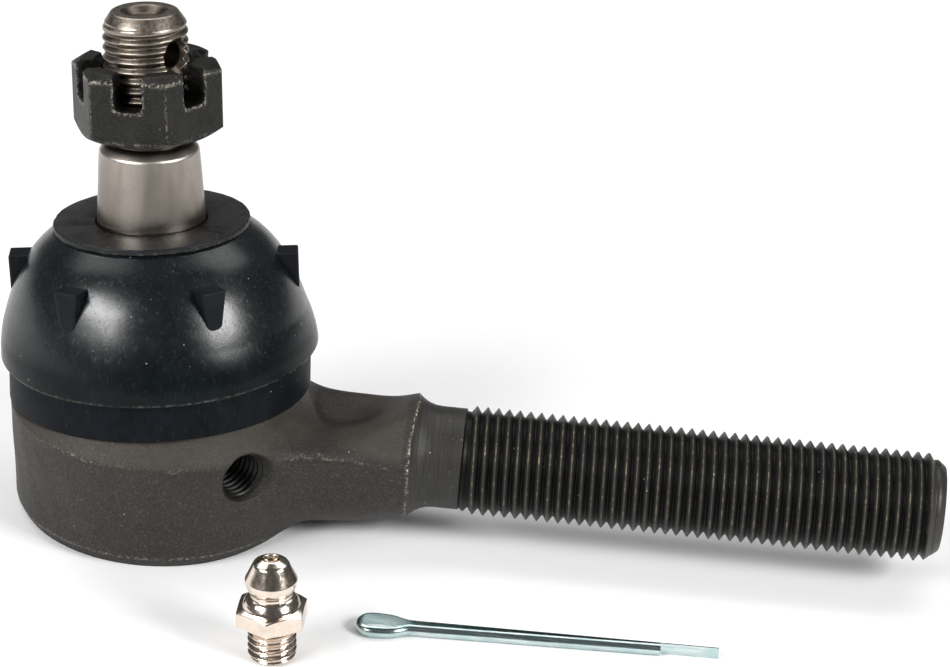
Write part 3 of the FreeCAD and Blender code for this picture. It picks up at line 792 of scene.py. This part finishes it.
def make_grease_thread():
    """The screwed wall of the grease hole, a thin sleeve inside the drilled one."""
    start, end = GREASE_THREAD_FROM, GREASE_MOUTH_FROM + 0.25
    rows = np.arange(start, end, FITTING_PITCH / 8)
    segments = 96
    points = []
    for i in range(segments):
        turn = i / segments
        inner = SLEEVE_R - GREASE_THREAD_DEPTH * (1 - crest(rows / FITTING_PITCH - turn))
        fade = np.clip((end - rows) / 0.5, 0, 1)
        inner = inner * fade + SLEEVE_R * (1 - fade)
        column = list(zip(inner, rows)) + [(SLEEVE_OUT_R, rows[-1]), (SLEEVE_OUT_R, start)]
        a = 2 * math.pi * turn
        points += [(r * math.cos(a), r * math.sin(a), z) for r, z in column]
    turn = np.array(Vector((0, 0, 1)).rotation_difference(Vector(GREASE_AXIS)).to_matrix())
    faces = grid_faces(segments, len(rows) + 2, True)
    sleeve = mesh_object("grease_hole_thread", points, faces, turn=turn, at=(0, 0, GREASE_POINT[2]))
    point_values(sleeve, "height", np.full(len(sleeve.data.vertices), 0.5))
    dress(sleeve, thread_look("grease_hole_steel", (0.010, 0.010, 0.009), (0.034, 0.033, 0.030),
                              (0.1, 0.1, 0.09), 0.30))
    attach(sleeve, "socket")


# Ball stud --------------------------------------------------------------------------------

BALL_R = 9.0
TAPER_R = 7.03
STUD_THREAD_R = 5.45
STUD_RELIEF_R = 4.85        # under the thread's start
STUD_THREAD_FROM = 40.0
STUD_THREAD_TO = 54.6
STUD_TOP = 56.7
TAPER_TO = 38.5
STUD_THREAD_DEPTH = 0.42
HOLE_AT = 51.5
HOLE_R = 1.6
HOLE_AZIMUTH = math.radians(-32)
HOLE_CONE_FROM = 4.25       # the cross hole opens out from this radius
RECESS_R = 2.85
RECESS_FLOOR_R = 1.8
RECESS_DEPTH = 0.9
STUD_END_STEP = 0.11


def stud_outline():
    """The ball, neck and ground taper, up to the foot of the thread."""
    ball = [(BALL_R * math.cos(a), BALL_R * math.sin(a)) for a in np.linspace(-0.823, 1.034, 40)]
    swell = catmull([(4.6, 12.0), (5.0, 14.0), (6.2, 17.5), (TAPER_R, 20.5)], 6)
    rest = [(TAPER_R, 29.3), (6.98, 29.6), (6.45, TAPER_TO - 0.1), (6.33, TAPER_TO + 0.12),
            (5.6, TAPER_TO + 0.95), (4.9, TAPER_TO + 1.05), (4.9, STUD_THREAD_FROM - 0.1),
            (0, STUD_THREAD_FROM)]
    return [(0, ball[0][1])] + ball + [(4.6, 8.4)] + swell + eased([swell[-1]] + rest, 0.12)[1:]


def stud_thread_field(x, y, z):
    """The threaded end, with its recess and its cross hole."""
    depth = STUD_THREAD_DEPTH
    r = np.hypot(x, y)
    turn = np.arctan2(y, x) / (2 * math.pi)
    thread_r = STUD_THREAD_R - depth + depth * crest(z / STUD_PITCH - turn)
    limit_at = [STUD_THREAD_FROM - 0.6, STUD_THREAD_FROM, STUD_THREAD_FROM + 0.9, STUD_THREAD_TO - 0.5,
                STUD_THREAD_TO + 0.6, STUD_TOP - 0.55, STUD_TOP - 0.12, STUD_TOP]
    limit_r = [STUD_RELIEF_R, STUD_RELIEF_R, STUD_THREAD_R, STUD_THREAD_R, 5.25, 4.62, 4.3, 4.05]
    shaft = (r - np.minimum(thread_r, np.interp(z, limit_at, limit_r))) * 0.6
    shaft = np.maximum(shaft, np.maximum(z - STUD_TOP, STUD_THREAD_FROM - 0.6 - z))
    recess = outline_field(r, z, [
        (-3, STUD_TOP - RECESS_DEPTH), (RECESS_FLOOR_R, STUD_TOP - RECESS_DEPTH), (RECESS_R, STUD_TOP),
        (3.2, STUD_TOP + 1), (-3, STUD_TOP + 1)])
    shaft = without(shaft, recess, 0.25)
    c, s = math.cos(HOLE_AZIMUTH), math.sin(HOLE_AZIMUTH)
    out = np.abs(x * c + y * s)
    across = np.hypot(x * s - y * c, z - HOLE_AT)
    return without(shaft, across - HOLE_R - np.maximum(out - HOLE_CONE_FROM, 0) * 0.8, 0.10)


def make_stud():
    body = lathe("stud_body", stud_outline(), 256, turn=STUD_TURN)
    x, y, z = points_mm(body, STUD_TURN).T
    r = np.hypot(x, y)
    # Painted highlight: a bright line along the taper's top edge.
    point_values(body, "wear_and_highlight", near(z - TAPER_TO - 0.05, 0.16) * (r > 6.2) * 0.9)
    # Painted shade above the taper, under the nut, and in a ring where the stud leaves the boot.
    above = np.clip((z - TAPER_TO - 0.15) / 0.5, 0, 1)
    ring = 0.55 * near(np.maximum(z - 29.2, 0), 0.9) * (z > 27)
    point_values(body, "dirt_and_shade", 0.85 * above + ring)
    sharp_edges(body, 60)
    dress(body, steel_look())
    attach(body, "stud")
    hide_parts("ball_stud")
    end = field_mesh("stud_thread", stud_thread_field, (-5.5, -5.5, STUD_THREAD_FROM - 0.6),
                     (5.5, 5.5, STUD_TOP), STUD_END_STEP, turn=STUD_TURN)
    x, y, z = points_mm(end, STUD_TURN).T
    r = np.hypot(x, y)
    depth = STUD_THREAD_DEPTH
    height = np.clip((r - (STUD_THREAD_R - depth)) / depth, 0, 1)
    height = np.where((z > STUD_THREAD_TO + 0.1) & (r > 3.0), 0.97, height)
    point_values(end, "height", height)
    dress(end, thread_look("stud_thread_steel", (0.15, 0.125, 0.102), (0.32, 0.275, 0.232),
                           (0.44, 0.39, 0.34), 0.26, 1.0))
    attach(end, "stud")


# Castle nut -------------------------------------------------------------------------------

NUT_BOTTOM = 41.1
NUT_TOP = 50.4
NUT_FLATS = 17.3
NUT_CORNER = math.radians(-67.6)
SLOT_W = 3.75
SLOT_DEPTH = 4.7
NUT_CHAMFER_R = NUT_FLATS / math.sqrt(3) - 0.12
NUT_GROOVE = 0.45           # depth of its thread
NUT_MOUTH = 0.7             # height and width of the countersink at each end
NUT_STEP = 0.12


def six_fold(x, y, azimuth):
    """Folds the plane so that one sector of 60 degrees, centred on azimuth, stands for all six."""
    a = np.arctan2(y, x) - azimuth
    a = np.mod(a + math.pi / 6, math.pi / 3) - math.pi / 6
    r = np.hypot(x, y)
    return r * np.cos(a), r * np.sin(a)


def nut_field(x, y, z):
    """A chamfered hexagon with six slots in its top and a threaded bore."""
    r = np.hypot(x, y)
    out, side = six_fold(x, y, NUT_CORNER + math.pi / 6)
    faces = out - NUT_FLATS / 2 + 0.02
    turned = outline_field(r, z, [
        (PAST_AXIS, NUT_BOTTOM), (NUT_FLATS / 2 - 0.2, NUT_BOTTOM), (NUT_CHAMFER_R, NUT_BOTTOM + 0.8),
        (NUT_CHAMFER_R, NUT_TOP - 0.95), (NUT_FLATS / 2 - 0.35, NUT_TOP), (PAST_AXIS, NUT_TOP)])
    body = overlap(faces, turned, 0.12)
    slot = outline_field(np.abs(side), z, [
        (-3, NUT_TOP - SLOT_DEPTH), (SLOT_W / 2 - 0.9, NUT_TOP - SLOT_DEPTH),
        (SLOT_W / 2 - 0.26, NUT_TOP - SLOT_DEPTH + 0.26), (SLOT_W / 2, NUT_TOP - SLOT_DEPTH + 0.9),
        (SLOT_W / 2, NUT_TOP + 2), (-3, NUT_TOP + 2)])
    ragged = 0.07 * waves(x, y, z, 1.1, 8)
    body = without(body, slot + ragged, 0.10)
    turn = np.arctan2(y, x) / (2 * math.pi)
    groove = NUT_GROOVE * crest(z / STUD_PITCH - turn + 0.5)
    mouth = np.maximum(NUT_MOUTH - np.minimum(z - NUT_BOTTOM, NUT_TOP - z), 0)
    bore = (STUD_THREAD_R + 0.06 + groove + mouth - r) * -0.7
    return without(body, bore, 0.08)


def make_nut():
    nut = field_mesh("hex_castle_nut", nut_field, (-10, -10, NUT_BOTTOM), (10, 10, NUT_TOP), NUT_STEP,
                     turn=STUD_TURN)
    x, y, z = points_mm(nut, STUD_TURN).T
    r = np.hypot(x, y)
    out, side = six_fold(x, y, NUT_CORNER + math.pi / 6)
    face = np.abs(out - NUT_FLATS / 2)
    corner = near(np.abs(np.abs(side) - NUT_FLATS / 2 / math.sqrt(3)) + 0.5 * face, 0.18)
    slot_edge = near(np.abs(np.abs(side) - SLOT_W / 2) + face, 0.20) * (z > NUT_TOP - SLOT_DEPTH)
    floor_edge = near(np.abs(z - NUT_TOP + SLOT_DEPTH) + face, 0.24) * (np.abs(side) < SLOT_W / 2)
    top_edge = near(np.abs(z - NUT_TOP + 0.9) + 0.7 * face, 0.25)
    bottom_edge = 0.3 * near(np.abs(z - NUT_BOTTOM - 0.5), 0.2) * (r > NUT_FLATS / 2)
    point_values(nut, "wear_and_highlight", 0.8 * corner + 0.8 * slot_edge + floor_edge + top_edge + bottom_edge)
    # Painted shade inside the slots.
    slotted = (z > NUT_TOP - SLOT_DEPTH - 0.1) * (z < NUT_TOP - 0.25)
    point_values(nut, "dirt_and_shade", 0.8 * (np.clip((NUT_FLATS / 2 - 0.3 - out) / 0.6, 0, 1) * slotted))
    dress(nut, nut_look())
    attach(nut, "nut")
    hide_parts("castle_nut")


# Dust boot --------------------------------------------------------------------------------

BOOT_LIP = (20.58, 11.1)
LUG_R = 18.7
LUG_TOP = 24.65
LUG_FOOT = 19.4
LUG_HALF = 1.75
LUG_AZIMUTH = 2.0
LUG_TWIST = 4.0             # turned this far about its own middle
LUG_ROOT_R = 13.6
LUG_TAPER = 0.62            # the foot's width over the top's
LUG_STEP = 0.14
FLANGE_R = 12.76
FLANGE_LOW = 28.3
BOOT_HOLE_R = 7.10
SKIRT_R = 18.84             # inside the skirt
DOME = [(12.2, FLANGE_LOW), (15.1, 25.8), (17.15, 23.0), (18.7, 19.6), (19.85, 16.0), (20.40, 13.2), BOOT_LIP]
LIP_TILT = 0.9              # the skirt's lip rises by this much from front to side, and again to the back
LIP_SHIFT = 0.25            # and sits this much towards the shank
LIP_TUCK = 0.22             # and this much closer in at the back


def boot_shell():
    """Closed outline of the boot's wall: dome, skirt, inside and flange."""
    dome = catmull(DOME, 14)
    skirt = eased([BOOT_LIP, (20.32, 10.78), (19.75, 10.6), (19.62, 10.3), (19.58, 6.1), (19.35, 5.85),
                   (18.9, 5.88), (SKIRT_R, 10.5)], 0.12, 3)[1:]
    inner = catmull([(SKIRT_R, 10.5), (18.25, 14.5), (16.95, 18.2), (14.95, 21.2), (11.2, 24.6)], 6)[1:]
    over = [inner[-1], (BOOT_HOLE_R, 25.2), (BOOT_HOLE_R, BOOT_TOP - 0.05), (9.5, BOOT_TOP - 0.04),
            (FLANGE_R, BOOT_TOP - 0.03), (FLANGE_R + 0.02, FLANGE_LOW), (12.1, FLANGE_LOW)]
    top = eased(over, 0.16, 3)[1:-1]
    return dome[1:] + skirt + inner + top


def rough_flange(angle, r, z):
    """A tilted skirt, a trimmed edge that wanders and has nicks, and a ragged hole round the stud."""
    x, y = np.cos(angle), np.sin(angle)
    skirt = np.interp(z, [6.5, 10.4, 11.4, 17.0], [0, 1, 1, 0])
    r = r + (LIP_SHIFT * x - LIP_TUCK * np.clip(y, 0, 1)) * skirt
    z = z + LIP_TILT * (1 + y) * skirt
    edge = np.clip((r - 11.9) / 0.4, 0, 1) * (z > FLANGE_LOW - 0.3)
    nick = 0.05 * waves(x * 9, y * 9, 0 * x, 1.6, 11) + 0.09 * waves(x * 9, y * 9, 0 * x, 6.0, 12)
    hole = np.clip((7.6 - r) / 0.3, 0, 1) * (z > BOOT_TOP - 1)
    tear = 0.09 * (1 + waves(x * 9, y * 9, 0 * x, 1.3, 13))
    flat = np.clip((r - 8) / 3, 0, 1) * (z > BOOT_TOP - 0.3)
    sag = 0.05 * waves(x * r / 2, y * r / 2, 0 * r, 4.0, 14) * flat
    return r - edge * (0.08 + np.abs(nick)) + hole * tear, z - np.abs(sag)


def lug_field(x, y, z):
    """One peg: flat on top, narrowing to a round foot, standing proud of the dome along +X."""
    low = LUG_FOOT + 1.1
    half = np.interp(z, [low, LUG_TOP], [LUG_HALF * LUG_TAPER, LUG_HALF])
    sides = np.abs(y) - half
    foot = np.where(z < low, np.hypot(y, z - low) - LUG_HALF * LUG_TAPER, sides)
    peg = np.maximum(foot, z - LUG_TOP)
    return overlap(overlap(peg, x - LUG_R, 0.28), LUG_ROOT_R - x, 0.1)


def make_lug(number, material):
    """One of the six pegs round the dome, in its place on the boot."""
    twist = np.array(Matrix.Rotation(math.radians(LUG_TWIST), 3, "Z"))
    spin = np.array(Matrix.Rotation(math.radians(LUG_AZIMUTH + 60 * number), 3, "Z"))
    pivot = np.array([LUG_R - 2, 0, 0])
    turn = BOOT_TURN @ spin @ twist
    at = BOOT_AT + BOOT_TURN @ spin @ (pivot - twist @ pivot)
    lug = field_mesh("lug", lug_field, (LUG_ROOT_R, -2, LUG_FOOT), (LUG_R, 2, LUG_TOP), LUG_STEP,
                     turn=turn, at=at)
    for name, value in (("wear_and_highlight", 0.0), ("dirt_and_shade", 0.0), ("gloss", 0.3)):
        point_values(lug, name, np.full(len(lug.data.vertices), value))
    dress(lug, material)
    return lug


def rubber_kinds(shell):
    """Which of the boot's three rubbers each face has: glossy 0, flange 1 or matte 2."""
    middle = np.array([face.center[:] for face in shell.data.polygons]) / MM
    x, y, z = ((middle - BOOT_AT) @ BOOT_TURN).T
    r = np.hypot(x, y)
    skirt_or_hole = (z < 10.8 + LIP_TILT * (1 + y / r)) | (r < 7.6)
    kind = np.where(z > FLANGE_LOW + 0.5, 1, np.where(skirt_or_hole, 2, 0))
    return np.where((r > FLANGE_R - 0.25) & (z > FLANGE_LOW - 0.2), 2, kind)


def boot_wear(shell):
    """Stores where the shell is scuffed and painted with highlight lines along its edges, smudged, painted dark as
    shading round the stud, and how it shines.
    """
    x, y, z = ((points_mm(shell) - BOOT_AT) @ BOOT_TURN).T
    r = np.hypot(x, y)
    rise = LIP_TILT * (1 + y / r)
    # Lines along the lip and the flange's edge: partly wear, partly painted highlight.
    lip = 0.30 * near(np.hypot(r - BOOT_LIP[0] - LIP_SHIFT * x / r, z - BOOT_LIP[1] - rise), 0.12)
    flange_edge = 0.28 * near(np.hypot(r - FLANGE_R, z - FLANGE_LOW - 0.1), 0.14)
    point_values(shell, "wear_and_highlight", lip + flange_edge)
    on_top = z > BOOT_TOP - 0.4
    # Smudges on the flange top are dirt; the ragged dark ring round the stud is painted shade where the boot meets
    # it.
    blots = np.clip(waves(x, y, z, 2.2, 21) * 2.5 - 0.8, 0, 1) * near(r - 9.6, 1.3) * on_top
    hole = np.clip((7.45 + 0.2 * waves(x, y, z, 1.2, 22) - r) / 0.12, 0, 1) * (z > BOOT_TOP - 1)
    point_values(shell, "dirt_and_shade", blots * 0.9 + hole)
    point_values(shell, "gloss", (z - 14.0) / 5.0)


def make_boot():
    shell = lathe("shell", boot_shell(), 288, closed=True, shape=rough_flange, turn=BOOT_TURN, at=BOOT_AT)
    boot_wear(shell)
    # The blue cast of the glossy and matte rubbers is painted sheen.
    glossy = rubber_look("boot_rubber", (0.0022, 0.0032, 0.0038), (0.0050, 0.0078, 0.0090),
                         0.25, 0.0, 1.55)
    flange = rubber_look("flange_rubber", (0.0130, 0.0122, 0.0114), (0.0330, 0.0308, 0.0285),
                         0.28, 0.10, 1.50)
    matte = rubber_look("matte_rubber", (0.0040, 0.0050, 0.0068), (0.0075, 0.0092, 0.0120),
                        0.46, 0.02, 1.33)
    dress(shell, glossy, flange, matte)
    shell.data.polygons.foreach_set("material_index", rubber_kinds(shell).astype(np.int32))
    pieces = [shell] + [make_lug(number, matte) for number in range(6)]
    boot = joined("rubber_dust_boot", pieces)
    sharp_edges(boot, 50)
    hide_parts("dust_boot")
    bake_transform(boot)


# Grease fitting ---------------------------------------------------------------------------

FITTING_FLATS = 8.2
FITTING_CORNER = math.radians(-92)
FITTING_THREAD_R = 3.05
FITTING_THREAD_DEPTH = 0.46
FITTING_STEP = 0.085
CHECK_SEAT = (12.3, 12.8)   # heights between which the bore narrows to the ball's seat
CHECK_BORE_R = 1.25
FITTING_PIVOT = np.array([-FITTING_THREAD_R, 0, 0])
FITTING_AT = np.array([19.85, -35.3, FLOOR_Z])
FITTING_OUTLINE = [(-3, 0), (2.7, 0), (3.05, 0.35), (3.05, 4.6), (2.6, 4.7), (2.6, 4.95), (4.72, 4.95),
                   (4.72, 6.85), (3.62, 7.28), (3.46, 7.65), (3.24, 8.05), (2.95, 8.40), (2.6, 8.65),
                   (2.58, 9.0), (2.45, 9.12)]


def fitting_head():
    """The head: a ball below its widest point, a cone above it and a domed top."""
    ball = [(3.25 * math.cos(a), 10.85 + 3.25 * math.sin(a)) for a in np.linspace(-0.53, 0, 7)]
    return ball + [(2.27, 12.92), (2.14, 13.12), (1.92, 13.26), (1.25, 13.6), (1.05, 13.68), (-3, 13.68)]


FITTING_PROFILE = FITTING_OUTLINE + fitting_head()


def fitting_field(x, y, z):
    """The fitting standing on its thread, with its bore."""
    r = np.hypot(x, y)
    out, _ = six_fold(x, y, FITTING_CORNER + math.pi / 6)
    profile = outline_field(r, z, FITTING_PROFILE)
    hexed = np.where(z < 8.3, out - FITTING_FLATS / 2, -1)
    body = overlap(profile, hexed, 0.07)
    turn = np.arctan2(y, x) / (2 * math.pi)
    depth = FITTING_THREAD_DEPTH
    thread = (r - (FITTING_THREAD_R - depth + depth * crest(z / FITTING_PITCH - turn + 0.35))) * 0.65
    body = np.where(z < 4.75, np.maximum(body, thread), body)
    mouth_r = np.interp(z, CHECK_SEAT, [CHECK_BORE_R, 0.97])
    bore_r = np.where(z < 5.3, 0.8, np.where(z < CHECK_SEAT[0], CHECK_BORE_R, mouth_r))
    return without(body, r - bore_r, 0.07)


def make_fitting():
    at = FITTING_AT + FITTING_PIVOT - FITTING_TURN @ FITTING_PIVOT
    body = field_mesh("grease_nipple", fitting_field, (-4.75, -4.75, 0), (4.75, 4.75, 13.7), FITTING_STEP,
                      turn=FITTING_TURN, at=at)
    x, y, z = ((points_mm(body) - at) @ FITTING_TURN).T
    r = np.hypot(x, y)
    # Painted shade down the bore.
    point_values(body, "dirt_and_shade", 0.35 * (r < 1.3) * (z < 13.45))
    dress(body, nickel_look())
    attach(body, "grease_fitting")
    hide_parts("grease_fitting_body")


# CAD pieces that stay -----------------------------------------------------------------------

def dress_cad_nodes():
    polymer = plain_look("bearing_polymer", (0.42, 0.40, 0.33), (0.52, 0.50, 0.42), 0.0, 0.35, 0.01)
    spring = plain_look("spring_steel", (0.20, 0.19, 0.18), (0.32, 0.31, 0.29), 1.0, 0.28, 0.006)
    ball = plain_look("ball_steel", (0.55, 0.50, 0.45), (0.68, 0.62, 0.56), 1.0, 0.22, 0.004)
    cover = plain_look("cover_steel", (0.055, 0.050, 0.043), (0.085, 0.077, 0.066), 0.35, 0.45, 0.03)
    for node, material in (("upper_bearing", polymer), ("lower_bearing", polymer), ("preload_spring", spring),
                           ("check_ball", ball), ("check_ball_spring", spring), ("end_cover_plate", cover),
                           ("cotter_pin", zinc_look())):
        dress(frame["nodes"][node], material)


# Studio -----------------------------------------------------------------------------------

# Name, azimuth, elevation, distance, width, height and radiance
SOFTBOXES = (("left_box", -137, 31, 0.75, 0.42, 0.21, 18.0), ("right_box", -27, 31, 0.75, 0.30, 0.23, 20.0),
             ("back_box", 90, 63, 0.95, 1.5, 0.5, 2.1), ("far_box", 150, 55, 1.0, 0.6, 0.6, 1.6))
WORLD_STRENGTH = 0.09


def softbox(name, azimuth, elevation, distance, width, height, radiance):
    """A rectangular light facing the part, placed by its direction, in degrees, and its distance."""
    middle = Vector((0.02, 0, 0.01))
    a, e = math.radians(azimuth), math.radians(elevation)
    away = Vector((math.cos(e) * math.cos(a), math.cos(e) * math.sin(a), math.sin(e)))
    light = bpy.data.lights.new(name, "AREA")
    light.shape = "RECTANGLE"
    light.size, light.size_y = width, height
    light.energy = radiance * math.pi * width * height
    lamp = bpy.data.objects.new(name, light)
    lamp.location = middle + away * distance
    lamp.rotation_euler = away.to_track_quat("Z", "Y").to_euler()
    bpy.context.scene.collection.objects.link(lamp)


def make_floor():
    """A wide pale floor under the part."""
    half = 3.0
    z = FLOOR_Z * MM
    mesh = bpy.data.meshes.new("floor")
    corners = [(-half, -half, z), (half, -half, z), (half, half, z), (-half, half, z)]
    mesh.from_pydata(corners, [], [(0, 1, 2, 3)])
    floor = bpy.data.objects.new("floor", mesh)
    bpy.context.scene.collection.objects.link(floor)
    look = Look("pale_floor", Roughness=0.9)
    look.colour(look.blend(look.noise(60.0, 3.0, 0.5), (0.88, 0.88, 0.88), (0.92, 0.92, 0.92)))
    dress(floor, look.material)


CAMERA_AT = (0.05352, -0.4153, 0.23254)
CAMERA_TURN = (62.663, -4.481, 4.143)     # degrees, with the small roll of a hand-set tripod
CAMERA_LENS = 137.68


def make_camera():
    data = bpy.data.cameras.new("camera")
    data.lens = CAMERA_LENS
    data.sensor_width = 36
    data.clip_start, data.clip_end = 0.01, 20
    camera = bpy.data.objects.new("camera", data)
    camera.location = CAMERA_AT
    camera.rotation_euler = Euler([math.radians(a) for a in CAMERA_TURN])
    bpy.context.scene.collection.objects.link(camera)
    bpy.context.scene.camera = camera


def make_studio():
    scene = bpy.context.scene
    scene.view_settings.view_transform = "Standard"
    world = bpy.data.worlds.new("studio")
    world.use_nodes = True
    background = world.node_tree.nodes["Background"]
    background.inputs["Color"].default_value = (0.95, 0.97, 1.0, 1)
    background.inputs["Strength"].default_value = WORLD_STRENGTH
    scene.world = world
    for box in SOFTBOXES:
        softbox(*box)
    make_floor()


make_camera()
make_studio()
make_housing()
make_shank()
make_grease_thread()
make_stud()
make_nut()
make_boot()
make_fitting()
dress_cad_nodes()
